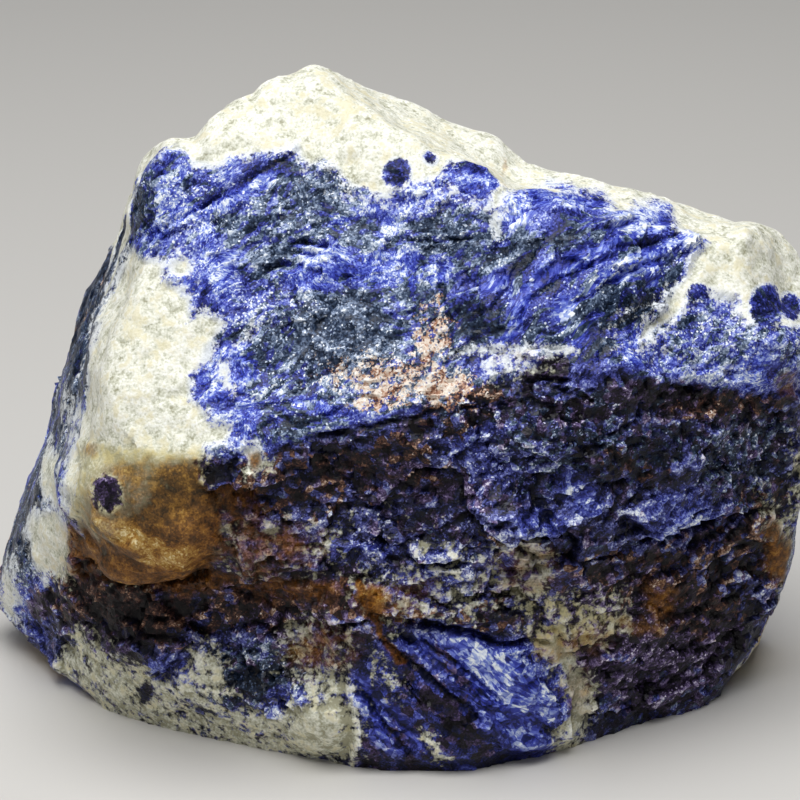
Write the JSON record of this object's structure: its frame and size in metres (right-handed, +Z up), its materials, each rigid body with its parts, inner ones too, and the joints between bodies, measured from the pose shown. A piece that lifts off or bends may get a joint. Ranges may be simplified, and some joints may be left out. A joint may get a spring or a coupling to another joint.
{
  "type": "sodalite stone",
  "caption": "Rough hand-sized block of blue sodalite with a pale cap and rust-stained ledges, broken on all sides and cut level below to stand on a shelf.",
  "frame": {"origin": "centre of the bounding box seen from above, on the level underside that the stone rests on", "axes": "+X along the stone's length to the viewer's right, -Y out of the best side towards the viewer, +Z up"},
  "size_m": [0.101, 0.066, 0.0755],
  "materials": {
    "sodalite": "rough broken stone, blue and ink sodalite with cream rock and rust stains, frosted and glinting where it is cleaved"
  },
  "bodies": {
    "root": {"sodalite_stone": "sodalite"}
  },
  "joints": []
}
